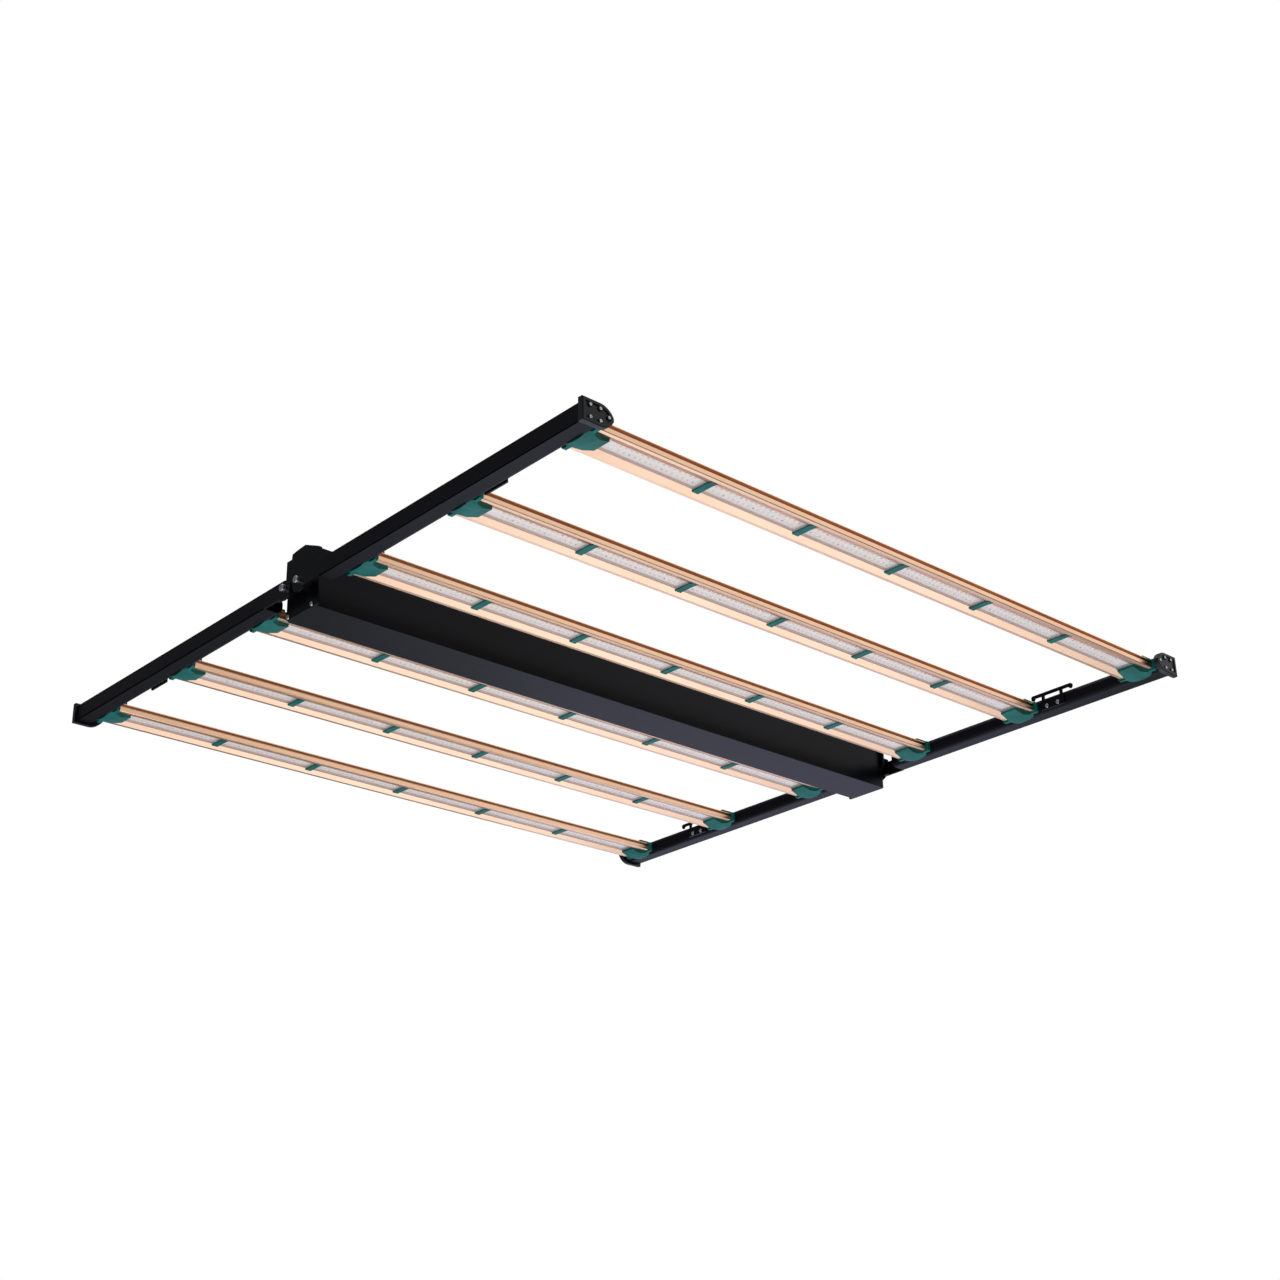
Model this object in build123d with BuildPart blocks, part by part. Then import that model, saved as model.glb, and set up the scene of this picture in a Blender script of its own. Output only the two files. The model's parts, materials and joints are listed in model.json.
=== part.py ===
from build123d import *
import os

# Foldable six-bar LED grow light, hung face down from four rail hangers.
# X runs along the light bars, Y along the side rails, Z is up. Millimetres.
# The origin is the suspension centre: midway between the hangers, at the height
# where a hook bears under the hangers' top arms.

# Heights are given from the rail axis, which is also the height of both hinge pivots.
axis_z = -12.5
level = Plane(origin=(0, 0, axis_z))
lengthwise = Plane(origin=(0, 0, axis_z), x_dir=(0, 1, 0), z_dir=(1, 0, 0))

# Side rails: a bullet-shaped extrusion, flat outside and rounded towards the bars.
rail_outer, rail_nose, rail_shoulder = 537.0, 509.0, 518.0
rail_half_height, rail_nose_flat = 11.0, 3.5
rail_start, rail_end = 62.0, 547.0
rail_wall = 1.8
rebate = 1.8
boss_radius = 2.8
wire_hole_radius = 3.0

# Rail end caps.
cap_outer, cap_nose, cap_shoulder = 540.5, 496.0, 516.0
cap_half_height, cap_nose_flat = 14.5, 2.0
cap_thickness = 7.5
cap_recess = 1.5
cap_holes = [(529, 7.5), (529, -7.5), (515, 7.5), (515, -7.5)]
nose_hole = (503, 0.7)
cap_head_radius, cap_head_height, head_clearance = 2.0, 1.7, 0.2

# Light bars: three on each wing, measured from the centre line.
bar_rows = {"inner": 108.4, "middle": 311.0, "outer": 513.0}
bar_half_length = 504.0
bar_half_width = 26.5
lens_half_length, lens_half_width = 481.0, 11.4
lens_face = -3.5
lens_groove, lens_rebate = 13.3, 1.0
board_half_length, board_half_width, board_thickness = 478.0, 11.5, 1.6
web_bottom, web_top = 2.2, 4.0
fin_top, fin_pitch, fin_thickness, fin_count = 7.5, 5.2, 1.2, 9
wall_top = 4.9
tip_face, tip_inner = -6.8, 21.0
chamber = [(15, 1.8), (20, 1.8), (20, -2.2), (24.6, -2.2), (24.6, -5), (21.6, -5), (15, -2.6)]
slot_low, slot_high, slot_floor = -0.6, 4.0, 22.0

# Strap clips that hold each lens in.
clip_rows = [-326, -163, 0, 163, 326]
clip_width, clip_face = 10.0, -5.2
clip_hole = (12.0, 4.6)
clip_hole_y = -16.6

# Bar end holders.
ear_y, ear_low, ear_high = 30.5, -9.0, 7.0
chin_tip = 478.0
chin_drop, chin_half_width = 13.0, 20.0
foot_tip, foot_gap = 515.0, 0.15
holder_screw_y, holder_pocket = 19.0, 2.2

# Driver box on the centre line.
box_end, plate_thickness, sheet = 519.0, 3.0, 1.5
box_half_width = 30.5
box_low, box_shoulder, box_top, box_ridge = -33.5, 45.5, 56.5, 5.0
tray_half_width, tray_low, tray_lip = 32.0, -35.0, 12.0
plate_screw_y, plate_screw_z = 26.0, -31.4
block_length, block_width, block_height = 10.0, 5.4, 9.0

# Wing hinges: an arm on each rail turns on a bolt through the box's end plate.
pivot_y = 15.5
arm_inner, arm_outer, arm_half_height = 534.0, 537.0, 11.0
lobe_radius, lobe_drop = 13.0, 2.5
tongue_inner, tongue_outer, tongue_end = 529.5, 535.2, 105.0
tongue_height, tongue_root = 9.0, 10.0
pivot_bolt_radius, pivot_clearance = 3.0, 0.08
bolt_head_radius, bolt_head_height, side_gap = 4.8, 4.6, 0.3
stop_near, stop_far, stop_gap, stop_height = 23.0, 35.0, 0.3, 2.2
pad_inner, lug_outer = 530.0, 533.6
arm_screws = [80.0, 95.0]

# Hangers.
hanger_y = 368.5
hanger_thickness = 2.5
hanger_half_width, hanger_low = 20.0, -9.0
hanger_slot_half, hanger_slot_low = 13.5, 5.5
hanger_arm_half, hanger_arm_height = 36.0, 4.5
hanger_screw_spacing, hanger_screw_z = 19.0, -5.0

# Controls on the back wall of the driver box.
control_z = 18.0
gland_x, knob_x, port_x = -440.0, -350.0, -290.0
lead_radius, gland_thread = 4.2, 8.0
bush_radius, shaft_radius = 4.5, 3.0
knob_radius, knob_height = 10.0, 15.0
port_width, port_height = 14.0, 9.0

# Inside the driver box.
driver_x, driver_length, driver_width, driver_height = 60.0, 520.0, 48.0, 36.0
terminal_x = -300.0

ends = {"left": -1, "right": 1}
wings = {"front": -1, "back": 1}
low = Align.MIN
mid = Align.CENTER
high = Align.MAX

os.makedirs("parts", exist_ok=True)


def save(piece, name):
    piece.label = name
    export_step(piece, f"parts/{name}.step")


def across(y):
    """The upright plane at a distance y along the rails: its x is X and its y is height."""
    return Plane(origin=(0, y, axis_z), x_dir=(1, 0, 0), z_dir=(0, -1, 0))


def facing(x, y, z, direction):
    """A plane whose normal is a screw's outward direction, with z from the rail axis."""
    return Plane(origin=(x, y, axis_z + z), z_dir=direction)


def bullet(end, outer, shoulder, nose, half_height, nose_flat):
    """The rail's outline: flat outside, two arcs running in to a narrow flat nose."""
    with BuildSketch() as outline:
        with BuildLine():
            Line((end * outer, -half_height), (end * outer, half_height))
            Line((end * outer, half_height), (end * shoulder, half_height))
            TangentArc((end * shoulder, half_height), (end * nose, nose_flat), tangent=(-end, 0))
            Line((end * nose, nose_flat), (end * nose, -nose_flat))
            TangentArc((end * shoulder, -half_height), (end * nose, -nose_flat), tangent=(-end, 0))
            Line((end * shoulder, -half_height), (end * outer, -half_height))
        make_face()
    return outline.sketch


def slope_z(offset):
    """Height of a bar's sloping underside at a distance from the bar's centre line."""
    lip = lens_half_width + 0.2
    return lens_face + (tip_face - lens_face) * (offset - lip) / (tip_inner - lip)


def screws(planes, head_radius, head_height, shank_radius, shank_length):
    """Cross-head screws, one at each plane, with the head on the normal's side."""
    slot = head_radius * 1.1
    with BuildPart() as group:
        with Locations(*planes):
            Cylinder(head_radius, head_height, align=(mid, mid, low))
            Cylinder(shank_radius, shank_length, align=(mid, mid, high))
        rims = group.edges().filter_by(GeomType.CIRCLE).group_by(SortBy.RADIUS)[-1]
        fillet(rims, radius=head_height * 0.3)
        with Locations(*[plane.offset(head_height) for plane in planes]):
            Box(slot, head_radius * 0.28, head_height * 0.5, align=(mid, mid, high), mode=Mode.SUBTRACT)
            Box(head_radius * 0.28, slot, head_height * 0.5, align=(mid, mid, high), mode=Mode.SUBTRACT)
    return group.part


def make_rail(wing, end):
    """A hollow rail with five screw bosses and a wire hole behind each bar."""
    outline = bullet(end, rail_outer, rail_shoulder, rail_nose, rail_half_height, rail_nose_flat)
    corner = (end * rail_outer, -rail_half_height)
    length = rail_end - rail_start
    with BuildPart() as rail:
        with BuildSketch(across(wing * rail_start)) as section:
            add(outline)
            offset(outline, amount=-rail_wall, kind=Kind.INTERSECTION, mode=Mode.SUBTRACT)
            with BuildSketch(mode=Mode.PRIVATE) as bosses:
                with Locations(*[(end * x, z) for x, z in cap_holes]):
                    Circle(boss_radius)
                with Locations(corner):
                    Rectangle(2 * (rebate + rail_wall), 2 * (rebate + rail_wall))
                add(outline, mode=Mode.INTERSECT)
            add(bosses.sketch)
            with Locations(*[(end * x, z) for x, z in cap_holes]):
                Circle(1.5, mode=Mode.SUBTRACT)
            with Locations(corner):
                Rectangle(2 * rebate, 2 * rebate, mode=Mode.SUBTRACT)
        extrude(amount=-wing * length)
        wire_holes = [facing(end * rail_nose, wing * y, 0, (-end, 0, 0)) for y in bar_rows.values()]
        with Locations(*wire_holes):
            Cylinder(wire_hole_radius, 18, mode=Mode.SUBTRACT)
        holder_screws = [wing * y + s * holder_screw_y for y in bar_rows.values() for s in (-1, 1)]
        hanger_screws = [wing * hanger_y + s * hanger_screw_spacing / 2 for s in (-1, 1)]
        spots = [facing(end * rail_nose, y, 0, (-end, 0, 0)) for y in holder_screws]
        spots += [facing(end * rail_nose, y, hanger_screw_z, (-end, 0, 0)) for y in hanger_screws]
        with Locations(*spots):
            Cylinder(1.7, 20, mode=Mode.SUBTRACT)
    return rail.part


def make_cap(wing, end):
    """A moulded cap over the rail's outer end: a raised rim, four rail screws and a nose screw."""
    outline = bullet(end, cap_outer, cap_shoulder, cap_nose, cap_half_height, cap_nose_flat)
    holes = [(end * x, z) for x, z in [*cap_holes, nose_hole]]
    seat = cap_head_radius + head_clearance
    with BuildPart() as cap:
        with BuildSketch(across(wing * rail_end)):
            add(outline)
        extrude(amount=-wing * cap_thickness)
        fillet(cap.faces().sort_by(Axis.Y)[0 if wing < 0 else -1].edges(), radius=1.6)
        with BuildSketch(across(wing * (rail_end + cap_thickness))):
            offset(outline, amount=-4.2, kind=Kind.INTERSECTION)
            with Locations(*holes):
                Circle(seat + 0.7, mode=Mode.SUBTRACT)
            with Locations(*holes):
                Circle(seat)
        extrude(amount=wing * cap_recess, mode=Mode.SUBTRACT)
        with BuildSketch(across(wing * (rail_end + cap_thickness))):
            with Locations(*holes):
                Circle(1.6)
        extrude(amount=wing * cap_thickness, mode=Mode.SUBTRACT)
    return cap.part


def make_arm(wing, end):
    """The hinge arm: a tongue inside the rail's end, a plate out to a round lobe at the pivot, a stop pad."""
    tongue_x = end * (tongue_inner + tongue_outer) / 2
    tongue_length = tongue_end - rail_start + tongue_root
    with BuildPart() as arm:
        with BuildSketch(lengthwise.offset(end * arm_inner)):
            with Locations((wing * (pivot_y + rail_start) / 2, 0)):
                Rectangle(rail_start - pivot_y, 2 * arm_half_height)
            with Locations((wing * pivot_y, -lobe_drop)):
                Circle(lobe_radius)
        extrude(amount=end * (arm_outer - arm_inner))
        with Locations((tongue_x, wing * (rail_start + tongue_end - tongue_root) / 2, axis_z)):
            Box(tongue_outer - tongue_inner, tongue_length, tongue_height)
        with Locations((end * (pad_inner + arm_inner + 0.5) / 2, wing * (stop_near + stop_far) / 2, axis_z)):
            Box(arm_inner + 0.5 - pad_inner, stop_far - stop_near, 2 * arm_half_height)
        with Locations(facing(end * arm_inner, wing * pivot_y, 0, (end, 0, 0))):
            Cylinder(pivot_bolt_radius + pivot_clearance, 30, mode=Mode.SUBTRACT)
        with Locations(*[facing(end * tongue_inner, wing * y, 0, (end, 0, 0)) for y in arm_screws]):
            Cylinder(1.7, 30, mode=Mode.SUBTRACT)
    return arm.part


def make_hanger(wing, end):
    """A flat steel hanger: a slot under a top arm whose two ends hook down."""
    hook_radius = 3.2
    arm_low = -axis_z
    arm_top = arm_low + hanger_arm_height
    hook = hanger_arm_half - hook_radius
    post = hanger_half_width - 2
    with BuildPart() as hanger:
        with BuildSketch(lengthwise.offset(end * (rail_nose - hanger_thickness))) as plate:
            with Locations((wing * hanger_y, (hanger_low + hanger_slot_low) / 2)):
                Rectangle(2 * hanger_half_width, hanger_slot_low - hanger_low)
            with Locations((wing * hanger_y, (hanger_slot_low + arm_top) / 2)):
                Rectangle(2 * post, arm_top - hanger_slot_low)
            with Locations((wing * hanger_y, (arm_low + arm_top) / 2)):
                Rectangle(2 * hook, hanger_arm_height)
            with Locations(*[(wing * hanger_y + s * hook, arm_top - hook_radius) for s in (-1, 1)]):
                Circle(hook_radius)
            with Locations(*[(wing * hanger_y + s * hook, arm_low) for s in (-1, 1)]):
                SlotOverall(6.5, 2 * hook_radius - 0.8, rotation=90)
            with Locations((wing * hanger_y, (hanger_slot_low + arm_low) / 2)):
                RectangleRounded(2 * hanger_slot_half, arm_low - hanger_slot_low, 1.5, mode=Mode.SUBTRACT)
            with Locations(*[(wing * hanger_y + s * hanger_screw_spacing / 2, hanger_screw_z) for s in (-1, 1)]):
                Circle(1.7, mode=Mode.SUBTRACT)
        extrude(amount=end * hanger_thickness)
    return hanger.part


def make_bar(y):
    """A light bar: a lens channel between two sloping wings, closed chambers, side slots and cooling fins."""
    lip = lens_half_width + 0.2
    side = [
        (0, web_bottom), (12.3, web_bottom), (12.3, lens_face + 2.1), (lens_groove, lens_face + 2.1),
        (lens_groove, lens_face + lens_rebate), (lip, lens_face + lens_rebate), (lip, lens_face),
        (tip_inner, tip_face), (bar_half_width - 0.8, tip_face), (bar_half_width, tip_face + 0.8),
        (bar_half_width, slot_low), (slot_floor, slot_low), (slot_floor, slot_high), (bar_half_width, slot_high),
        (bar_half_width, wall_top), (slot_floor - 2, wall_top), (slot_floor - 2, web_top), (0, web_top),
    ]
    holes = [(x, y + clip_hole_y, axis_z + tip_face + 2.4) for x in clip_rows]
    with BuildPart() as bar:
        with BuildSketch(lengthwise.offset(-bar_half_length)):
            with Locations((y, 0)):
                Polygon(*side, align=None)
                Polygon(*[(-a, b) for a, b in reversed(side)], align=None)
                Polygon(*chamber, align=None, mode=Mode.SUBTRACT)
                Polygon(*[(-a, b) for a, b in reversed(chamber)], align=None, mode=Mode.SUBTRACT)
            with Locations((y, (web_top + fin_top) / 2)):
                with GridLocations(fin_pitch, 0, fin_count, 1):
                    Rectangle(fin_thickness, fin_top - web_top)
        extrude(amount=2 * bar_half_length)
        with Locations(*holes):
            Box(*clip_hole, 4, mode=Mode.SUBTRACT)
    return bar.part


def make_board(y):
    """The LED circuit board, held against the bar's web."""
    with BuildPart() as board:
        with Locations((0, y, axis_z + web_bottom)):
            Box(2 * board_half_length, 2 * board_half_width, board_thickness, align=(mid, mid, high))
    return board.part


def make_lens(y):
    """The frosted lens: a strip with two thin edges that slide in the bar's grooves."""
    with BuildPart() as lens:
        with Locations((0, y, axis_z + lens_face)):
            Box(2 * lens_half_length, 2 * lens_half_width, lens_rebate, align=(mid, mid, low))
        with Locations((0, y, axis_z + lens_face + lens_rebate)):
            Box(2 * lens_half_length, 2 * (lens_groove - 0.3), lens_rebate, align=(mid, mid, low))
    return lens.part


def make_clips(wing):
    """Strap clips across the lenses, each with a foot that hooks into the bar's front wing."""
    foot = 15.2
    strap = [
        (-foot, slope_z(foot)), (-lens_half_width, lens_face), (lens_half_width, lens_face),
        (foot - 1.2, slope_z(foot - 1.2)), (foot - 1.2, clip_face - 0.3), (lens_half_width, clip_face),
        (-lens_half_width, clip_face), (-foot, clip_face - 0.6),
    ]
    hook = [
        (-foot, slope_z(foot)), (-foot, clip_face - 0.6), (-foot - 2.4, clip_face - 0.6), (-foot - 2.4, -2.8),
        (-foot - 0.8, -2.8), (-foot - 0.8, slope_z(foot)),
    ]
    with BuildPart() as clips:
        for x in clip_rows:
            with BuildSketch(lengthwise.offset(x - clip_width / 2)):
                with Locations(*[(wing * y, 0) for y in bar_rows.values()]):
                    Polygon(*strap, align=None)
            extrude(amount=clip_width)
            with BuildSketch(lengthwise.offset(x - clip_width / 2 + 1)):
                with Locations(*[(wing * y, 0) for y in bar_rows.values()]):
                    Polygon(*hook, align=None)
            extrude(amount=clip_width - 2)
    return clips.part


def make_holder(y, end):
    """A bar end holder: an eared flange, a curved chin under the bar, a lip over its fins, a foot under the rail."""
    front, back, nose = end * chin_tip, end * bar_half_length, end * rail_nose
    shelf = fin_top + 2.6
    lip, reach = lens_half_width + 0.2, chin_half_width
    rail_line = bullet(end, rail_outer, rail_shoulder, rail_nose, rail_half_height, rail_nose_flat)
    ramp = [
        (front, tip_face), (end * (chin_tip + 5), tip_face - 1.4), (back, -chin_drop - 1), (back, -30), (front, -30),
    ]
    with BuildPart() as holder:
        with BuildSketch(lengthwise.offset(front)):
            with BuildLine():
                ThreePointArc((y - reach, ear_low), (y, -chin_drop), (y + reach, ear_low))
                Polyline((y + reach, ear_low), (y + reach, slope_z(reach)), (y + lip, lens_face),
                         (y - lip, lens_face), (y - reach, slope_z(reach)), (y - reach, ear_low))
            make_face()
        extrude(amount=back - front)
        with BuildSketch(level.offset(-chin_drop - 1)):
            with BuildLine():
                Line((front, y - 13), (front, y + 13))
                ThreePointArc((front, y + 13), (end * (chin_tip + 14), y + 14.2), (back, y + 18))
                Line((back, y + 18), (back, y - 18))
                ThreePointArc((back, y - 18), (end * (chin_tip + 14), y - 14.2), (front, y - 13))
            make_face()
        extrude(amount=chin_drop, mode=Mode.INTERSECT)
        with BuildSketch(across(y - 25)):
            Polygon(*ramp, align=None)
        extrude(amount=-50, mode=Mode.SUBTRACT)
        with BuildSketch(lengthwise.offset(nose)):
            with BuildLine():
                ThreePointArc((y - reach, ear_low), (y, -chin_drop), (y + reach, ear_low))
                Polyline((y + reach, ear_low), (y + reach, -rail_nose_flat), (y - reach, -rail_nose_flat),
                         (y - reach, ear_low))
            make_face()
        extrude(amount=end * (foot_tip - rail_nose))
        with BuildSketch(across(y - 25)):
            offset(rail_line, amount=foot_gap)
        extrude(amount=-50, mode=Mode.SUBTRACT)
        with BuildSketch(lengthwise.offset(back)):
            with BuildLine():
                ThreePointArc((y - reach, ear_low), (y, -chin_drop), (y + reach, ear_low))
                Polyline((y + reach, ear_low), (y + ear_y, ear_low), (y + ear_y, ear_high), (y + 22, ear_high),
                         (y + 22, shelf), (y - 22, shelf), (y - 22, ear_high),
                         (y - ear_y, ear_high), (y - ear_y, ear_low), (y - reach, ear_low))
            make_face()
        extrude(amount=nose - back)
        with Locations((back, y, axis_z + shelf)):
            Box(14, 44, 2.4, align=(high if end > 0 else low, mid, high))
        fillet(holder.edges().filter_by(Axis.X).group_by(Axis.Y)[0], radius=3)
        fillet(holder.edges().filter_by(Axis.X).group_by(Axis.Y)[-1], radius=3)
        with Locations(facing(back, y, 0, (end, 0, 0))):
            Cylinder(wire_hole_radius, 20, mode=Mode.SUBTRACT)
        with Locations(*[facing(back, y + s * holder_screw_y, 0, (end, 0, 0)) for s in (-1, 1)]):
            Cylinder(1.7, 20, mode=Mode.SUBTRACT)
            Cylinder(3.2, holder_pocket, align=(mid, mid, low), mode=Mode.SUBTRACT)
    return holder.part


def make_holders(wing):
    with BuildPart() as holders:
        for y in bar_rows.values():
            for end in ends.values():
                add(make_holder(wing * y, end))
    return holders.part


def make_cap_screws(wing):
    """Four screws through each cap into the rail, and a short one in the cap's own nose."""
    face = wing * (rail_end + cap_thickness - cap_recess)
    spots = [facing(end * x, face, z, (0, wing, 0)) for end in ends.values() for x, z in cap_holes]
    noses = [facing(end * nose_hole[0], face, nose_hole[1], (0, wing, 0)) for end in ends.values()]
    shanks = {18: spots, cap_thickness - cap_recess: noses}
    groups = [screws(places, cap_head_radius, cap_head_height, 1.45, length) for length, places in shanks.items()]
    return groups[0] + groups[1]


def make_frame_screws(wing):
    """Screws that fix the hangers and holders to the rail noses, and the arm tongues inside."""
    places = []
    for end in ends.values():
        for s in (-1, 1):
            places += [(end * (bar_half_length + holder_pocket), wing * y + s * holder_screw_y, 0, end)
                       for y in bar_rows.values()]
            places.append((end * (rail_nose - hanger_thickness),
                           wing * hanger_y + s * hanger_screw_spacing / 2, hanger_screw_z, end))
        places += [(end * tongue_inner, wing * y, 0, end) for y in arm_screws]
    return screws([facing(x, y, z, (-end, 0, 0)) for x, y, z, end in places], 3.0, 1.8, 1.6, 5.6)


def make_loom(wing):
    """The wing's wiring: a trunk inside the left rail and a thin lead into each bar."""
    trunk_x = -522
    lead_z = axis_z + (lens_face + 2 * lens_rebate + web_bottom - board_thickness) / 2
    with BuildPart() as loom:
        with BuildSketch(across(wing * (rail_start + 3))):
            with Locations((trunk_x, lead_z - axis_z)):
                Circle(2.4)
        extrude(amount=-wing * (bar_rows["outer"] + 4 - rail_start - 3))
        for y in bar_rows.values():
            with Locations(Plane(origin=(trunk_x, wing * y, lead_z), z_dir=(1, 0, 0))):
                Cylinder(0.8, -board_half_length - 4 - trunk_x, align=(mid, mid, low))
    return loom.part


def box_outline(half_width, shoulder_z, top_z):
    """The driver box's end outline: upright sides and a low roof with a narrow flat ridge."""
    with BuildSketch() as outline:
        Polygon(
            (-half_width, box_low), (half_width, box_low), (half_width, shoulder_z), (box_ridge, top_z),
            (-box_ridge, top_z), (-half_width, shoulder_z), align=None,
        )
    return outline.sketch


def make_housing():
    """The folded cover of the driver box, open underneath and welded between the end plates."""
    back = axis_z + control_z
    with BuildPart() as housing:
        with BuildSketch(lengthwise.offset(-box_end)):
            add(box_outline(box_half_width, box_shoulder, box_top))
            add(box_outline(box_half_width - sheet, box_shoulder - sheet / 2, box_top - sheet), mode=Mode.SUBTRACT)
        extrude(amount=2 * box_end)
        with Locations((gland_x, box_half_width, back)):
            Cylinder(gland_thread, 8, rotation=(90, 0, 0), mode=Mode.SUBTRACT)
        with Locations((knob_x, box_half_width, back)):
            Cylinder(bush_radius, 8, rotation=(90, 0, 0), mode=Mode.SUBTRACT)
        with Locations((port_x, box_half_width, back)):
            Box(port_width, 8, port_height, mode=Mode.SUBTRACT)
    return housing.part


def make_tray():
    """The box's underside: a shallow tray whose lips wrap the cover's walls, with four screw blocks."""
    floor_z = axis_z + tray_low
    with BuildPart() as tray:
        with Locations((0, 0, floor_z)):
            Box(2 * box_end, 2 * tray_half_width, tray_lip, align=(mid, mid, low))
            with Locations((0, 0, sheet)):
                Box(2 * box_end, 2 * box_half_width, tray_lip, align=(mid, mid, low), mode=Mode.SUBTRACT)
        for end in ends.values():
            blocks = [(end * (box_end - block_length / 2), s * plate_screw_y, floor_z + sheet) for s in (-1, 1)]
            with Locations(*blocks):
                Box(block_length, block_width, block_height, align=(mid, mid, low))
        plates = [facing(end * box_end, s * plate_screw_y, plate_screw_z, (end, 0, 0))
                  for end in ends.values() for s in (-1, 1)]
        with Locations(*plates):
            Cylinder(1.6, 30, mode=Mode.SUBTRACT)
    return tray.part


def make_end_plate(end):
    """The box's end plate, turned round for the other end: both wing pivots and a stop lug over each arm."""
    turn = -end
    rim = [(31, tray_low), (31, -4), (36.5, 2), (36.5, 48.5), (25.8, 48.5), (24.8, 55.2), (12, 57), (-4, 58),
           (-35, 44.5), (-38, 42), (-38, tray_low)]
    points = [(turn * a, b) for a, b in rim]
    with BuildPart() as plate:
        with BuildSketch(lengthwise.offset(end * box_end)):
            Polygon(*(points if turn > 0 else points[::-1]), align=None)
        extrude(amount=end * plate_thickness)
        fillet(plate.edges().filter_by(Axis.X).group_by(Axis.Z)[0], radius=2)
        for wing in wings.values():
            stop_y = wing * (stop_near + stop_far) / 2
            with Locations((end * (box_end + 0.5), stop_y, axis_z + arm_half_height + stop_gap)):
                Box(lug_outer - box_end - 0.5, stop_far - stop_near, stop_height,
                    align=(low if end > 0 else high, mid, low))
        with Locations(*[facing(end * box_end, s * pivot_y, 0, (end, 0, 0)) for s in (-1, 1)]):
            Cylinder(pivot_bolt_radius + 0.02, 20, mode=Mode.SUBTRACT)
        with Locations(*[facing(end * box_end, s * plate_screw_y, plate_screw_z, (end, 0, 0)) for s in (-1, 1)]):
            Cylinder(1.7, 20, mode=Mode.SUBTRACT)
    return plate.part


def make_pivot_bolts():
    """Four pivot bolts with hexagon-socket heads outside the hinge arms."""
    head = arm_outer + side_gap
    seats = [facing(end * head, s * pivot_y, 0, (end, 0, 0)) for end in ends.values() for s in (-1, 1)]
    with BuildPart() as bolts:
        with Locations(*seats):
            Cylinder(bolt_head_radius, bolt_head_height, align=(mid, mid, low))
            Cylinder(pivot_bolt_radius, head - box_end + 9, align=(mid, mid, high))
        fillet(bolts.edges().filter_by(GeomType.CIRCLE).group_by(Axis.X)[0], radius=0.7)
        fillet(bolts.edges().filter_by(GeomType.CIRCLE).group_by(Axis.X)[-1], radius=0.7)
        for seat in seats:
            with BuildSketch(seat.offset(bolt_head_height)):
                RegularPolygon(2.6, 6)
            extrude(amount=-2, mode=Mode.SUBTRACT)
    return bolts.part


def make_pivot_nuts():
    seats = [facing(end * box_end, s * pivot_y, 0, (-end, 0, 0)) for end in ends.values() for s in (-1, 1)]
    with BuildPart() as nuts:
        for seat in seats:
            with BuildSketch(seat):
                RegularPolygon(5.7, 6)
                Circle(pivot_bolt_radius, mode=Mode.SUBTRACT)
            extrude(amount=5)
    return nuts.part


def make_pivot_spacers():
    """Sleeves on the pivot bolts, between the end plates and the hinge arms."""
    start = box_end + plate_thickness
    seats = [facing(end * start, s * pivot_y, 0, (end, 0, 0)) for end in ends.values() for s in (-1, 1)]
    with BuildPart() as spacers:
        for seat in seats:
            with BuildSketch(seat):
                Circle(6)
                Circle(pivot_bolt_radius, mode=Mode.SUBTRACT)
            extrude(amount=arm_inner - side_gap - start)
    return spacers.part


def make_plate_screws():
    face = box_end + plate_thickness
    spots = [facing(end * face, s * plate_screw_y, plate_screw_z, (end, 0, 0))
             for end in ends.values() for s in (-1, 1)]
    return screws(spots, 3.0, 1.9, 1.6, 11)


def make_driver():
    """The LED driver: a long potted case with a mounting ear at each end."""
    floor_z = axis_z + tray_low + sheet
    with BuildPart() as driver:
        with Locations((driver_x, 0, floor_z)):
            Box(driver_length, driver_width, driver_height, align=(mid, mid, low))
        fillet(driver.edges().filter_by(Axis.X).group_by(Axis.Z)[-1], radius=3)
        with Locations((driver_x, 0, floor_z)):
            Box(driver_length + 28, driver_width * 0.6, 2, align=(mid, mid, low))
        for s in (-1, 1):
            with Locations((driver_x + s * (driver_length / 2 + 8), 0, floor_z)):
                Cylinder(2.2, 10, mode=Mode.SUBTRACT)
    return driver.part


def make_terminal_block():
    """Five screw terminals in a row on the tray."""
    floor_z = axis_z + tray_low + sheet
    with BuildPart() as block:
        with Locations((terminal_x, 0, floor_z)):
            Box(50, 20, 8, align=(mid, mid, low))
            Box(50, 11, 17, align=(mid, mid, low))
        with Locations((terminal_x, 0, floor_z + 17)):
            with GridLocations(9.6, 1, 5, 1):
                Cylinder(2.2, 10, align=(mid, mid, high), mode=Mode.SUBTRACT)
    return block.part


def make_gland():
    """The mains lead's gland: a threaded stem through the wall, a hexagon, a domed nut, an inner nut."""
    wall = box_half_width
    out = facing(gland_x, wall, control_z, (0, 1, 0))
    with BuildPart() as gland:
        with BuildSketch(out):
            RegularPolygon(11.5, 6)
        extrude(amount=5)
        with BuildSketch(out.offset(5)):
            Circle(9.8)
        extrude(amount=11, taper=12)
        with BuildSketch(out):
            Circle(gland_thread - 0.05)
        extrude(amount=-11)
        with BuildSketch(out.offset(-sheet)):
            RegularPolygon(11, 6)
        extrude(amount=-4)
        with Locations(out):
            Cylinder(lead_radius, 60, mode=Mode.SUBTRACT)
    return gland.part


def make_pot():
    """The dimmer's body: a case inside the wall and a plain bush through it."""
    out = facing(knob_x, box_half_width - sheet, control_z, (0, 1, 0))
    with BuildPart() as pot:
        with Locations(out):
            Box(17, 17, 9, align=(mid, mid, high))
            Cylinder(bush_radius - 0.05, 5, align=(mid, mid, low))
            Cylinder(shaft_radius + 0.05, 5.1, align=(mid, mid, low), mode=Mode.SUBTRACT)
    return pot.part


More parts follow.
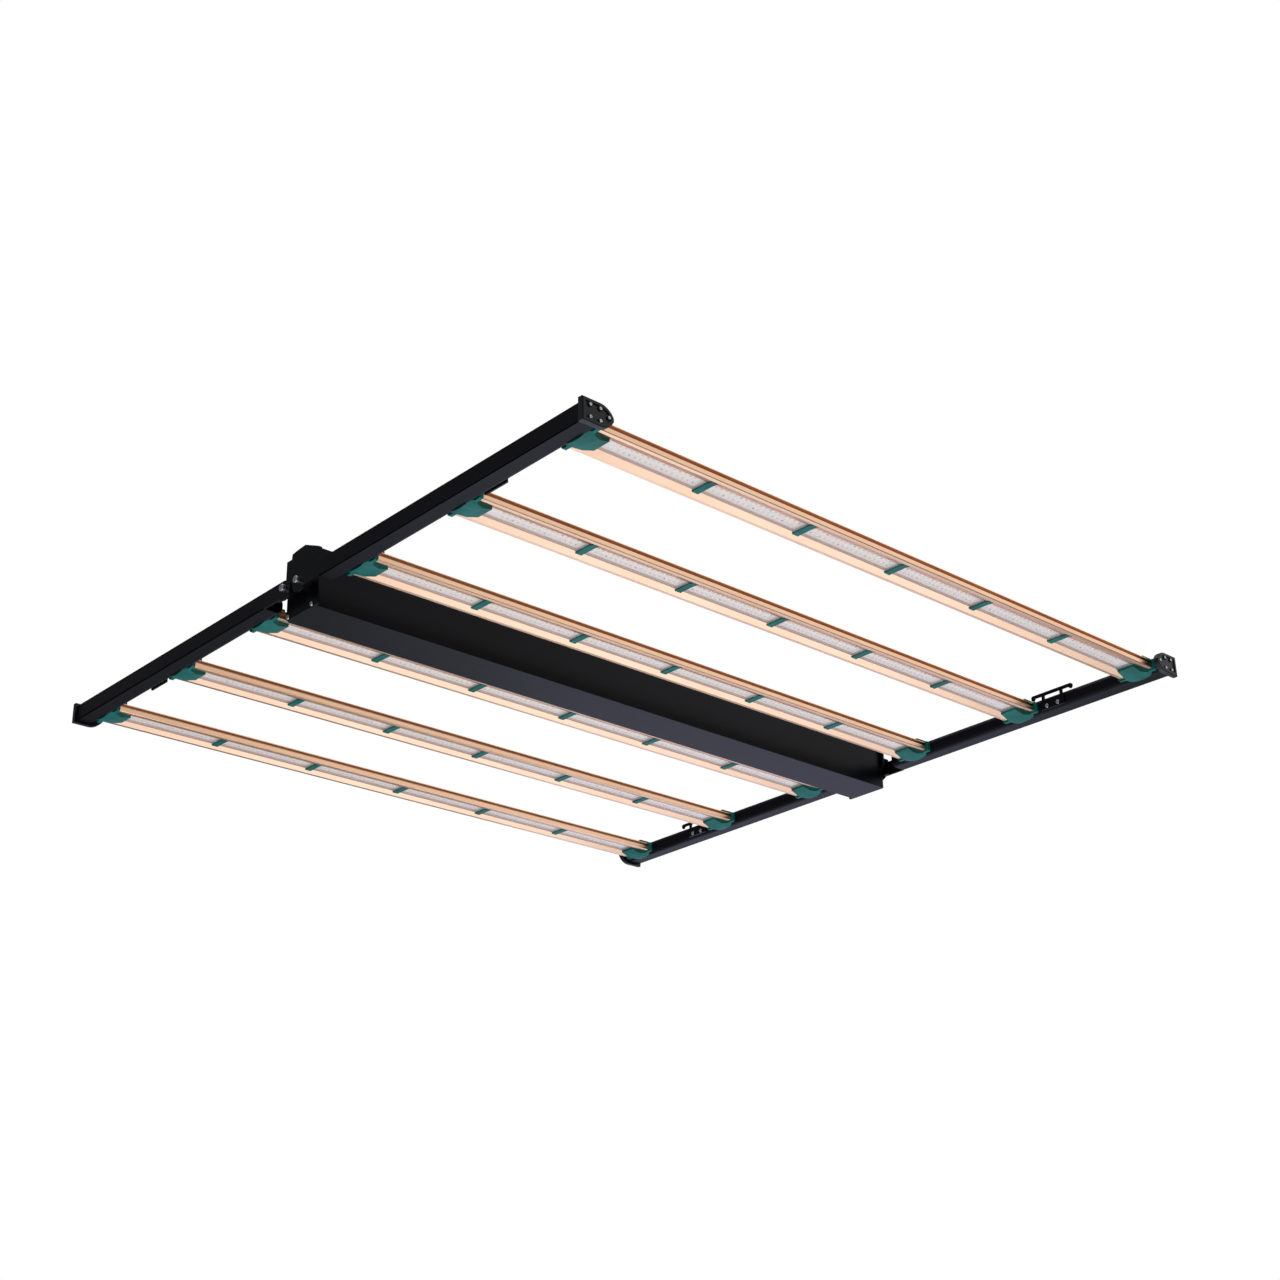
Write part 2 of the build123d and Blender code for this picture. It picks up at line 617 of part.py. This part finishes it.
def make_shaft():
    out = facing(knob_x, box_half_width - sheet, control_z, (0, 1, 0))
    with BuildPart() as shaft:
        with Locations(out.offset(0.3)):
            Cylinder(shaft_radius, 16, align=(mid, mid, low))
    return shaft.part


def make_knob():
    """The dimmer knob: fluted, hollow over the bush, with a pointer groove."""
    out = facing(knob_x, box_half_width, control_z, (0, 1, 0)).offset(0.6)
    with BuildPart() as knob:
        with Locations(out):
            Cylinder(knob_radius, knob_height, align=(mid, mid, low))
        fillet(knob.edges().group_by(Axis.Y)[-1], radius=1.2)
        with Locations(out):
            Cylinder(bush_radius + 1.2, 3.6, align=(mid, mid, low), mode=Mode.SUBTRACT)
            Cylinder(shaft_radius, 14.2, align=(mid, mid, low), mode=Mode.SUBTRACT)
            with PolarLocations(knob_radius + 0.5, 18):
                Cylinder(1.2, knob_height - 2.5, align=(mid, mid, low), mode=Mode.SUBTRACT)
        with Locations(out.offset(knob_height)):
            with Locations((0, knob_radius * 0.62)):
                Box(1.4, knob_radius * 0.6, 1.2, mode=Mode.SUBTRACT)
    return knob.part


def make_port_plug():
    """A rubber plug in the control-signal port, with a flange outside the wall."""
    with BuildPart() as plug:
        with Locations((port_x, box_half_width, axis_z + control_z)):
            Box(port_width + 5, 2.2, port_height + 5, align=(mid, low, mid))
            Box(port_width - 0.1, sheet + 3, port_height - 0.1, align=(mid, high, mid))
        fillet(plug.edges().group_by(Axis.Y)[-1], radius=0.8)
    return plug.part


save(make_housing(), "spine_housing")
save(make_tray(), "spine_tray")
save(make_driver(), "led_driver")
save(make_terminal_block(), "terminal_block")
save(make_gland(), "power_gland")
save(make_pot(), "dimmer_pot")
save(make_shaft(), "dimmer_shaft")
save(make_knob(), "dimmer_knob")
save(make_port_plug(), "control_port_plug")
save(make_pivot_bolts(), "pivot_bolts")
save(make_pivot_nuts(), "pivot_nuts")
save(make_pivot_spacers(), "pivot_spacers")
save(make_plate_screws(), "end_plate_screws")
for end_name, end in ends.items():
    save(make_end_plate(end), f"end_plate_{end_name}")

for wing_name, wing in wings.items():
    for end_name, end in ends.items():
        save(make_rail(wing, end), f"{wing_name}_rail_{end_name}")
        save(make_cap(wing, end), f"{wing_name}_rail_cap_{end_name}")
        save(make_arm(wing, end), f"{wing_name}_hinge_arm_{end_name}")
        save(make_hanger(wing, end), f"{wing_name}_hanger_{end_name}")
    for row, y in bar_rows.items():
        save(make_bar(wing * y), f"{wing_name}_bar_{row}")
        save(make_board(wing * y), f"{wing_name}_led_board_{row}")
        save(make_lens(wing * y), f"{wing_name}_lens_{row}")
    save(make_holders(wing), f"{wing_name}_bar_holders")
    save(make_clips(wing), f"{wing_name}_lens_clips")
    save(make_cap_screws(wing), f"{wing_name}_cap_screws")
    save(make_frame_screws(wing), f"{wing_name}_frame_screws")
    save(make_loom(wing), f"{wing_name}_wire_loom")
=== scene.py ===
# LED grow light: a folding frame of six light bars, hung face down.
# Metres throughout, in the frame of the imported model: X along the bars, Y along the rails, Z up.
import json
import math

import bmesh
import bpy
from mathutils import Matrix, Vector

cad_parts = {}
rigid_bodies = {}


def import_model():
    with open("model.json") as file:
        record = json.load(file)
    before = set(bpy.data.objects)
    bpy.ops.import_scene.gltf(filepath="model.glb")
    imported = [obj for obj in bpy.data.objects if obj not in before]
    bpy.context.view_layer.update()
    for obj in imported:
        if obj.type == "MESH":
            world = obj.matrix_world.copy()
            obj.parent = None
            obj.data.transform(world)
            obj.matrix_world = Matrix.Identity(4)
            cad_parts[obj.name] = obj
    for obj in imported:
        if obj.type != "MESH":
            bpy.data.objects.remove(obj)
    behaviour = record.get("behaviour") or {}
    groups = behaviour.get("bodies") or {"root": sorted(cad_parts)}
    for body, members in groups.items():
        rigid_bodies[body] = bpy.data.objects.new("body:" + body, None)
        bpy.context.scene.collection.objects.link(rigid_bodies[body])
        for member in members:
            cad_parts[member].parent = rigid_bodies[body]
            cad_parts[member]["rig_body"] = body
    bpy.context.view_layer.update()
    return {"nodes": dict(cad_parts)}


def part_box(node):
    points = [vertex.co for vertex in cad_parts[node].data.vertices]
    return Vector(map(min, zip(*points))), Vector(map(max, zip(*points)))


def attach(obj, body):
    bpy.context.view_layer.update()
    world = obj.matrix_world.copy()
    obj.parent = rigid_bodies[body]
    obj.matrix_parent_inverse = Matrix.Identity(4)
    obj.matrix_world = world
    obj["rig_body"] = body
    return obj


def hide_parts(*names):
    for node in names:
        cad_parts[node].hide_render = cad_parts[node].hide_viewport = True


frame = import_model()
scene = bpy.context.scene
mm = 0.001
wingNames = ("front", "back")
endNames = ("left", "right")
rowNames = ("inner", "middle", "outer")
print("stage: frame loaded,", len(frame["nodes"]), "nodes")


# Camera, lights, background and floor

def linear(hexColour):
    parts = [int(hexColour[i:i + 2], 16) / 255 for i in (1, 3, 5)]
    return [p / 12.92 if p <= 0.04045 else ((p + 0.055) / 1.055) ** 2.4 for p in parts] + [1.0]


cameraSetup = {
    "place": (-1.7161, -1.9073, -1.0793),
    "turn": -42.729,  # degrees from +Y, and a minus turns it towards +X
    "tilt": 114.028,  # 90 is level, and more looks up
    "roll": -1.274,
    "lens": 55.835,
    "sensor": 36.0,
    "near": 0.05,
    "far": 60,
}


def makeCamera(setup):
    camera = bpy.data.objects.new("camera", bpy.data.cameras.new("camera"))
    scene.collection.objects.link(camera)
    camera.data.lens = setup["lens"]
    camera.data.sensor_width = setup["sensor"]
    camera.data.clip_start = setup["near"]
    camera.data.clip_end = setup["far"]
    heading = Matrix.Rotation(math.radians(setup["turn"]), 4, "Z")
    tilt = Matrix.Rotation(math.radians(setup["tilt"]), 4, "X")
    roll = Matrix.Rotation(math.radians(setup["roll"]), 4, "Z")
    camera.matrix_world = Matrix.Translation(setup["place"]) @ heading @ tilt @ roll
    scene.camera = camera


# Each softbox: where it stands, its width and height, how bright its face is, and its colour.
softboxes = {
    "underFill": {"place": (1.7, 0.8, -2.2), "size": (3.4, 1.6), "brightness": 1.7, "colour": "#DAEAFF"},
    "nearFill": {"place": (-0.6, -0.5, -2.4), "size": (2.4, 2.4), "brightness": 2.4, "colour": "#FFF4EE"},
    "farFill": {"place": (2.7, 2.2, -1.0), "size": (1.8, 1.3), "brightness": 0.95, "colour": "#D6D8FF"},
    "sideKey": {"place": (1.7, -1.9, 1.0), "size": (2.6, 1.6), "brightness": 0.9, "colour": "#FFFFFF"},
    "backWall": {"place": (1.8, 2.3, 0.5), "size": (3.2, 0.9), "brightness": 0.95, "colour": "#F6EEFF"},
    "topLight": {"place": (-0.4, 0.3, 2.6), "size": (3.0, 3.0), "brightness": 1.2, "colour": "#FFFFFF"},
}


def makeSoftboxes(boxes):
    for name, box in boxes.items():
        light = bpy.data.lights.new(name, "AREA")
        light.shape = "RECTANGLE"
        light.size, light.size_y = box["size"]
        light.energy = box["brightness"] * math.pi * light.size * light.size_y
        light.color = linear(box["colour"])[:3]
        lamp = bpy.data.objects.new(name, light)
        scene.collection.objects.link(lamp)
        lamp.location = box["place"]
        lamp.rotation_euler = (-Vector(box["place"])).to_track_quat("-Z", "Y").to_euler()
        lamp.visible_camera = False


# The backdrop is what the camera sees, and the ambient light is what the pieces see.
surroundings = {
    "background": 1.0, "ambient": 0.22, "backdropColour": "#FFFFFF", "ambientColour": "#F4F6FF",
    "floorDrop": 3.0, "floorSize": 12.0, "floorColour": "#F2F2F0", "floorRough": 0.7,
}


def addNode(tree, kind, options=None, values=None, links=None):
    node = tree.nodes.new(kind)
    for option, value in (options or {}).items():
        setattr(node, option, value)
    for socket, value in (values or {}).items():
        node.inputs[socket].default_value = value
    for socket, source in (links or {}).items():
        tree.links.new(source, node.inputs[socket])
    return node


def makeBackground(setup):
    world = bpy.data.worlds.new("studio")
    scene.world = world
    world.use_nodes = True
    tree = world.node_tree
    tree.nodes.clear()
    path = addNode(tree, "ShaderNodeLightPath")
    room = addNode(tree, "ShaderNodeBackground",
                   values={"Color": linear(setup["ambientColour"]), "Strength": setup["ambient"]})
    backdrop = addNode(tree, "ShaderNodeBackground",
                       values={"Color": linear(setup["backdropColour"]), "Strength": setup["background"]})
    mixed = addNode(tree, "ShaderNodeMixShader",
                    links={0: path.outputs["Is Camera Ray"], 1: room.outputs[0], 2: backdrop.outputs[0]})
    addNode(tree, "ShaderNodeOutputWorld", links={"Surface": mixed.outputs[0]})
    scene.view_settings.view_transform = "Standard"


def startMaterial(name):
    material = bpy.data.materials.new(name)
    material.use_nodes = True
    tree = material.node_tree
    tree.nodes.clear()
    shader = addNode(tree, "ShaderNodeBsdfPrincipled")
    addNode(tree, "ShaderNodeOutputMaterial", links={"Surface": shader.outputs[0]})
    place = addNode(tree, "ShaderNodeTexCoord").outputs["Object"]
    return material, tree, shader, place


def makeFloor(setup):
    form = bmesh.new()
    bmesh.ops.create_grid(form, x_segments=1, y_segments=1, size=setup["floorSize"] / 2)
    bmesh.ops.translate(form, verts=form.verts, vec=(0, 0, -setup["floorDrop"]))
    mesh = bpy.data.meshes.new("floor")
    form.to_mesh(mesh)
    form.free()
    floor = bpy.data.objects.new("floor", mesh)
    scene.collection.objects.link(floor)
    material, tree, shader, place = startMaterial("paleFloorPaint")
    shader.inputs["Base Color"].default_value = linear(setup["floorColour"])
    shader.inputs["Roughness"].default_value = setup["floorRough"]
    mesh.materials.append(material)


makeCamera(cameraSetup)
makeSoftboxes(softboxes)
makeBackground(surroundings)
makeFloor(surroundings)
print("stage: camera, light and floor made")


# Materials

extrusionLook = {
    "light": "#EEC5A4", "deep": "#E8BA96", "streak": 1.1 * mm, "run": 420 * mm,
    "roughLow": 0.27, "roughHigh": 0.33, "lineDepth": 0.006 * mm,
}


def makeChampagneAnodised(look):
    # Satin anodised aluminium, drawn through a die: a metal sheen broken by faint lines along the bar.
    # The real lines are about 0.1 mm apart, and are drawn coarser so that they show.
    material, tree, shader, place = startMaterial("champagneAnodisedAluminium")
    alongBar = (1 / look["run"], 1 / look["streak"], 1 / look["streak"])
    drawn = addNode(tree, "ShaderNodeMapping", values={"Scale": alongBar}, links={"Vector": place})
    lines = addNode(tree, "ShaderNodeTexNoise", values={"Scale": 1.0, "Detail": 3.0, "Roughness": 0.6},
                    links={"Vector": drawn.outputs[0]})
    cloud = addNode(tree, "ShaderNodeTexNoise", values={"Scale": 9.0, "Detail": 2.0}, links={"Vector": place})
    shade = addNode(tree, "ShaderNodeMath", {"operation": "ADD"},
                    links={0: lines.outputs["Fac"], 1: cloud.outputs["Fac"]})
    colour = addNode(tree, "ShaderNodeMapRange", values={"From Min": 0.7, "From Max": 1.3},
                     links={"Value": shade.outputs[0]})
    mix = addNode(tree, "ShaderNodeMix", {"data_type": "RGBA"}, {6: linear(look["deep"]), 7: linear(look["light"])},
                  {0: colour.outputs[0]})
    rough = addNode(tree, "ShaderNodeMapRange",
                    values={"From Min": 0.3, "From Max": 0.7,
                            "To Min": look["roughLow"], "To Max": look["roughHigh"]},
                    links={"Value": lines.outputs["Fac"]})
    bump = addNode(tree, "ShaderNodeBump", values={"Strength": 0.35, "Distance": look["lineDepth"]},
                   links={"Height": lines.outputs["Fac"]})
    shader.inputs["Metallic"].default_value = 1.0
    tree.links.new(mix.outputs[2], shader.inputs["Base Color"])
    tree.links.new(rough.outputs[0], shader.inputs["Roughness"])
    tree.links.new(bump.outputs[0], shader.inputs["Normal"])
    return material


railLook = {
    "dark": "#0B0B10", "worn": "#101016", "streak": 1.0 * mm, "run": 400 * mm,
    "roughLow": 0.34, "roughHigh": 0.42, "lineDepth": 0.006 * mm, "specular": 0.08,
}


def makeBlackAnodised(look):
    # Black anodised aluminium: a dyed oxide skin, matt black with faint drawing lines along the rail.
    material, tree, shader, place = startMaterial("blackAnodisedAluminium")
    alongRail = (1 / look["streak"], 1 / look["run"], 1 / look["streak"])
    drawn = addNode(tree, "ShaderNodeMapping", values={"Scale": alongRail}, links={"Vector": place})
    lines = addNode(tree, "ShaderNodeTexNoise", values={"Scale": 1.0, "Detail": 4.0, "Roughness": 0.6},
                    links={"Vector": drawn.outputs[0]})
    colour = addNode(tree, "ShaderNodeMapRange", values={"From Min": 0.3, "From Max": 0.7},
                     links={"Value": lines.outputs["Fac"]})
    mix = addNode(tree, "ShaderNodeMix", {"data_type": "RGBA"}, {6: linear(look["dark"]), 7: linear(look["worn"])},
                  {0: colour.outputs[0]})
    rough = addNode(tree, "ShaderNodeMapRange",
                    values={"From Min": 0.3, "From Max": 0.7,
                            "To Min": look["roughLow"], "To Max": look["roughHigh"]},
                    links={"Value": lines.outputs["Fac"]})
    bump = addNode(tree, "ShaderNodeBump", values={"Strength": 0.3, "Distance": look["lineDepth"]},
                   links={"Height": lines.outputs["Fac"]})
    shader.inputs["Specular IOR Level"].default_value = look["specular"]
    tree.links.new(mix.outputs[2], shader.inputs["Base Color"])
    tree.links.new(rough.outputs[0], shader.inputs["Roughness"])
    tree.links.new(bump.outputs[0], shader.inputs["Normal"])
    return material


coatLook = {
    "dark": "#07070B", "light": "#0C0D13", "peel": 1.6 * mm, "fleck": 0.7 * mm, "peelDepth": 0.02 * mm,
    "roughLow": 0.3, "roughHigh": 0.38, "specular": 0.1,
}


def makePowderCoat(look):
    # Black polyester powder coat, sprayed and baked: a slight orange peel with fine flecks.
    # The peel is drawn a little coarser than the real one so that it shows.
    material, tree, shader, place = startMaterial("blackPowderCoat")
    peel = addNode(tree, "ShaderNodeTexNoise", values={"Scale": 1 / look["peel"], "Detail": 1.0},
                   links={"Vector": place})
    fleck = addNode(tree, "ShaderNodeTexNoise", values={"Scale": 1 / look["fleck"], "Detail": 0.0},
                    links={"Vector": place})
    drift = addNode(tree, "ShaderNodeTexNoise", values={"Scale": 6.0, "Detail": 2.0}, links={"Vector": place})
    shade = addNode(tree, "ShaderNodeMath", {"operation": "MULTIPLY"},
                    links={0: fleck.outputs["Fac"], 1: drift.outputs["Fac"]})
    colour = addNode(tree, "ShaderNodeMapRange", values={"From Min": 0.15, "From Max": 0.38},
                     links={"Value": shade.outputs[0]})
    mix = addNode(tree, "ShaderNodeMix", {"data_type": "RGBA"}, {6: linear(look["dark"]), 7: linear(look["light"])},
                  {0: colour.outputs[0]})
    rough = addNode(tree, "ShaderNodeMapRange",
                    values={"From Min": 0.3, "From Max": 0.7,
                            "To Min": look["roughLow"], "To Max": look["roughHigh"]},
                    links={"Value": peel.outputs["Fac"]})
    bump = addNode(tree, "ShaderNodeBump", values={"Strength": 0.4, "Distance": look["peelDepth"]},
                   links={"Height": peel.outputs["Fac"]})
    shader.inputs["Specular IOR Level"].default_value = look["specular"]
    tree.links.new(mix.outputs[2], shader.inputs["Base Color"])
    tree.links.new(rough.outputs[0], shader.inputs["Roughness"])
    tree.links.new(bump.outputs[0], shader.inputs["Normal"])
    return material


# Moulded plastics and rubber differ only in colour, grain and gloss.
mouldedLooks = {
    "blackAbs": {"dark": "#08080A", "light": "#101114", "grain": 0.9 * mm, "depth": 0.02 * mm, "rough": 0.42,
                 "specular": 0.35},
    "tealNylon": {"dark": "#0C5853", "light": "#116966", "grain": 1.1 * mm, "depth": 0.02 * mm, "rough": 0.45,
                  "specular": 0.14},
    "greyNylon": {"dark": "#C9CBC8", "light": "#DADBD8", "grain": 1.0 * mm, "depth": 0.02 * mm, "rough": 0.5,
                  "specular": 0.4},
    "blackRubber": {"dark": "#0B0B0B", "light": "#141414", "grain": 0.8 * mm, "depth": 0.03 * mm, "rough": 0.72,
                    "specular": 0.3},
    "blackCableJacket": {"dark": "#0A0A0A", "light": "#121212", "grain": 2.0 * mm, "depth": 0.02 * mm, "rough": 0.55,
                         "specular": 0.4},
}


def makeMoulded(name, look):
    # Injection-moulded plastic: even colour, a spark-eroded grain and a soft gloss.
    material, tree, shader, place = startMaterial(name)
    grain = addNode(tree, "ShaderNodeTexNoise", values={"Scale": 1 / look["grain"], "Detail": 2.0},
                    links={"Vector": place})
    flow = addNode(tree, "ShaderNodeTexNoise", values={"Scale": 45.0, "Detail": 3.0}, links={"Vector": place})
    colour = addNode(tree, "ShaderNodeMapRange", values={"From Min": 0.35, "From Max": 0.65},
                     links={"Value": flow.outputs["Fac"]})
    mix = addNode(tree, "ShaderNodeMix", {"data_type": "RGBA"}, {6: linear(look["dark"]), 7: linear(look["light"])},
                  {0: colour.outputs[0]})
    rough = addNode(tree, "ShaderNodeMapRange",
                    values={"From Min": 0.3, "From Max": 0.7, "To Min": look["rough"] - 0.05,
                            "To Max": look["rough"] + 0.06},
                    links={"Value": grain.outputs["Fac"]})
    bump = addNode(tree, "ShaderNodeBump", values={"Strength": 0.35, "Distance": look["depth"]},
                   links={"Height": grain.outputs["Fac"]})
    shader.inputs["Specular IOR Level"].default_value = look["specular"]
    tree.links.new(mix.outputs[2], shader.inputs["Base Color"])
    tree.links.new(rough.outputs[0], shader.inputs["Roughness"])
    tree.links.new(bump.outputs[0], shader.inputs["Normal"])
    return material


lensLook = {"clear": "#F8F2F4", "haze": "#F0EAEC", "alpha": 0.22, "rough": 0.3, "pebble": 1.8 * mm}


def makeFrostedLens(look):
    # Frosted polycarbonate strip, extruded with a fine haze: the diodes show through it softly.
    material, tree, shader, place = startMaterial("frostedPolycarbonate")
    pebble = addNode(tree, "ShaderNodeTexNoise", values={"Scale": 1 / look["pebble"], "Detail": 1.0},
                     links={"Vector": place})
    mix = addNode(tree, "ShaderNodeMix", {"data_type": "RGBA"}, {6: linear(look["haze"]), 7: linear(look["clear"])},
                  {0: pebble.outputs["Fac"]})
    bump = addNode(tree, "ShaderNodeBump", values={"Strength": 0.25, "Distance": 0.02 * mm},
                   links={"Height": pebble.outputs["Fac"]})
    shader.inputs["Roughness"].default_value = look["rough"]
    shader.inputs["Alpha"].default_value = look["alpha"]
    tree.links.new(mix.outputs[2], shader.inputs["Base Color"])
    tree.links.new(bump.outputs[0], shader.inputs["Normal"])
    return material


steelLook = {"light": "#D9DCDF", "dark": "#B4B8BC", "crystal": 1.4 * mm, "roughLow": 0.2, "roughHigh": 0.36}


def makeZincSteel(look):
    # Bright zinc-plated steel: a cool metal with a faint crystal mottle.
    material, tree, shader, place = startMaterial("zincPlatedSteel")
    crystal = addNode(tree, "ShaderNodeTexVoronoi", values={"Scale": 1 / look["crystal"]}, links={"Vector": place})
    mix = addNode(tree, "ShaderNodeMix", {"data_type": "RGBA"}, {6: linear(look["light"]), 7: linear(look["dark"])},
                  {0: crystal.outputs["Distance"]})
    rough = addNode(tree, "ShaderNodeMapRange",
                    values={"To Min": look["roughLow"], "To Max": look["roughHigh"]},
                    links={"Value": crystal.outputs["Distance"]})
    shader.inputs["Metallic"].default_value = 1.0
    tree.links.new(mix.outputs[2], shader.inputs["Base Color"])
    tree.links.new(rough.outputs[0], shader.inputs["Roughness"])
    return material


boardLook = {"mask": "#F4F4F0", "track": "#E3E4E0", "trackWidth": 3.2 * mm}


def makeBoardMask(look):
    # White solder mask over copper: glossy white, with the copper tracks just showing as bands.
    material, tree, shader, place = startMaterial("whiteSolderMask")
    bands = addNode(tree, "ShaderNodeTexBrick", {"offset": 0.5},
                    {"Color1": linear(look["mask"]), "Color2": linear(look["mask"]), "Mortar": linear(look["track"]),
                     "Scale": 1.0, "Mortar Size": 0.0006, "Brick Width": 0.051, "Row Height": look["trackWidth"] * 2},
                    {"Vector": place})
    shader.inputs["Roughness"].default_value = 0.3
    tree.links.new(bands.outputs["Color"], shader.inputs["Base Color"])
    return material


def makePlain(name, colour, rough, metallic=0.0):
    # Small inner parts: an even colour with a light mottle so that it isn't flat.
    material, tree, shader, place = startMaterial(name)
    mottle = addNode(tree, "ShaderNodeTexNoise", values={"Scale": 700.0, "Detail": 2.0}, links={"Vector": place})
    tint = addNode(tree, "ShaderNodeHueSaturation", values={"Color": linear(colour)})
    value = addNode(tree, "ShaderNodeMapRange", values={"To Min": 0.9, "To Max": 1.08},
                    links={"Value": mottle.outputs["Fac"]})
    tree.links.new(value.outputs[0], tint.inputs["Value"])
    tree.links.new(tint.outputs[0], shader.inputs["Base Color"])
    shader.inputs["Roughness"].default_value = rough
    shader.inputs["Metallic"].default_value = metallic
    return material


champagne = makeChampagneAnodised(extrusionLook)
blackAnodised = makeBlackAnodised(railLook)
powderCoat = makePowderCoat(coatLook)
moulded = {name: makeMoulded(name, look) for name, look in mouldedLooks.items()}
lensPlastic = makeFrostedLens(lensLook)
zincSteel = makeZincSteel(steelLook)
solderMask = makeBoardMask(boardLook)
driverPaint = makePlain("anodisedDriverCase", "#9A9DA1", 0.45, 0.8)
diodeCase = makePlain("whiteDiodeCase", "#F2F1EC", 0.4)
phosphor = makePlain("yellowPhosphorGel", "#E8C65A", 0.25)
redGel = makePlain("clearRedDiodeGel", "#9C4A3E", 0.2)
print("stage: materials made,", len(bpy.data.materials))


# The record's slots, and the material that each takes here
slotMaterials = {
    "champagne_anodised": champagne,
    "black_anodised": blackAnodised,
    "black_powder_coat": powderCoat,
    "black_moulding": moulded["blackAbs"],
    "teal_nylon": moulded["tealNylon"],
    "frosted_lens": lensPlastic,
    "led_board": solderMask,
    "zinc_steel": zincSteel,
    "wire_jacket": moulded["blackCableJacket"],
    "driver_case": driverPaint,
    "terminal_nylon": moulded["greyNylon"],
    "rubber": moulded["blackRubber"],
}


def dressNodes():
    for node in frame["nodes"].values():
        for place in node.material_slots:
            if place.material.name in slotMaterials:
                place.material = slotMaterials[place.material.name]


# Edges: the real pieces have small radii where they were drawn, folded, cut or moulded.
# Each entry: radius in millimetres, segments, the smallest angle in degrees that counts as an edge, and nodes.
edgeWork = [
    {"radius": 0.4, "segments": 2, "angle": 32, "nodes": [f"{w}_rail_{e}" for w in wingNames for e in endNames]},
    {"radius": 0.5, "segments": 2, "angle": 32, "nodes": [f"{w}_rail_cap_{e}" for w in wingNames for e in endNames]},
    {"radius": 0.25, "segments": 2, "angle": 12, "nodes": [f"{w}_bar_{r}" for w in wingNames for r in rowNames]},
    {"radius": 0.45, "segments": 2, "angle": 32, "nodes": [f"{w}_bar_holders" for w in wingNames]},
    {"radius": 0.3, "segments": 2, "angle": 32, "nodes": [f"{w}_lens_clips" for w in wingNames]},
    {"radius": 0.35, "segments": 2, "angle": 32, "nodes": [f"{w}_hanger_{e}" for w in wingNames for e in endNames]},
    {"radius": 0.5, "segments": 2, "angle": 32, "nodes": [f"{w}_hinge_arm_{e}" for w in wingNames for e in endNames]},
    {"radius": 0.5, "segments": 2, "angle": 32, "nodes": [f"end_plate_{e}" for e in endNames]},
    {"radius": 0.4, "segments": 2, "angle": 32, "nodes": ["spine_housing", "spine_tray"]},
]


# Points closer than the weld distance join, faces flatter than one angle merge, and shading breaks at another.
cleanUp = {"weld": 0.002 * mm, "mergeAngle": 0.6, "shadeAngle": 38}


def softenedCopy(node, radius, segments, angle):
    source = frame["nodes"][node]
    slotName = source.material_slots[0].material.name
    form = bmesh.new()
    form.from_mesh(source.data)
    bmesh.ops.remove_doubles(form, verts=form.verts, dist=cleanUp["weld"])
    bmesh.ops.dissolve_limit(form, angle_limit=math.radians(cleanUp["mergeAngle"]), verts=form.verts,
                             edges=form.edges)
    sharp = [e for e in form.edges if e.is_manifold and e.calc_face_angle() > math.radians(angle)]
    bmesh.ops.bevel(form, geom=sharp, offset=radius, offset_type="OFFSET", segments=segments, profile=0.5,
                    affect="EDGES", clamp_overlap=True, material=-1)
    for face in form.faces:
        face.smooth = True
    mesh = bpy.data.meshes.new(node + "_softened")
    form.to_mesh(mesh)
    form.free()
    mesh.set_sharp_from_angle(angle=math.radians(cleanUp["shadeAngle"]))
    mesh.materials.append(slotMaterials[slotName])
    piece = bpy.data.objects.new(node + "_softened", mesh)
    scene.collection.objects.link(piece)
    weights = piece.modifiers.new("evenShading", "WEIGHTED_NORMAL")
    weights.keep_sharp = True
    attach(piece, source["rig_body"])
    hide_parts(node)
    return piece


for work in edgeWork:
    for node in work["nodes"]:
        softenedCopy(node, work["radius"] * mm, work["segments"], work["angle"])
dressNodes()
print("stage: edges softened and nodes dressed")


# Diodes: two staggered rows on each board, one deep-red diode after every five white ones.
diodes = {
    "length": 3.0 * mm, "width": 3.0 * mm, "height": 0.7 * mm, "rim": 0.25 * mm, "cup": 0.2 * mm,
    "cupSlope": 0.4, "pitch": 8.0 * mm, "rowGap": 9.0 * mm, "group": 6, "margin": 6 * mm,
}


def addDiode(form, setup, x, y, top, gelIndex):
    made = bmesh.ops.create_cube(form, size=1.0)["verts"]
    bmesh.ops.scale(form, verts=made, vec=(setup["length"], setup["width"], setup["height"]))
    bmesh.ops.translate(form, verts=made, vec=(x, y, top - setup["height"] / 2))
    face = min({f for v in made for f in v.link_faces}, key=lambda f: f.calc_center_median().z)
    bmesh.ops.inset_region(form, faces=[face], thickness=setup["rim"], depth=0)
    bmesh.ops.inset_region(form, faces=[face], thickness=setup["rim"] * setup["cupSlope"], depth=-setup["cup"])
    face.material_index = gelIndex


def makeDiodes(wing, row, setup):
    board = f"{wing}_led_board_{row}"
    low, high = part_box(board)
    centre = (low.y + high.y) / 2
    groupLength = setup["group"] * setup["pitch"]
    groups = int((high.x - low.x - setup["margin"]) / groupLength)
    start = -groups * groupLength / 2 + setup["pitch"] / 4
    form = bmesh.new()
    for side in (-1, 1):
        for i in range(setup["group"]):
            x = start + (i + (0.5 if side > 0 else 0)) * setup["pitch"]
            isRed = i == (2 if side > 0 else setup["group"] - 1)
            addDiode(form, setup, x, centre + side * setup["rowGap"] / 2, low.z, 2 if isRed else 1)
    mesh = bpy.data.meshes.new(f"{wing}_diodes_{row}")
    form.to_mesh(mesh)
    form.free()
    for material in (diodeCase, phosphor, redGel):
        mesh.materials.append(material)
    piece = bpy.data.objects.new(f"{wing}_diodes_{row}", mesh)
    scene.collection.objects.link(piece)
    run = piece.modifiers.new("run", "ARRAY")
    run.count = groups
    run.use_relative_offset = False
    run.use_constant_offset = True
    run.constant_offset_displace = (groupLength, 0, 0)
    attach(piece, wing + "_wing")


for wing in wingNames:
    for row in rowNames:
        makeDiodes(wing, row, diodes)
print("stage: diodes made")
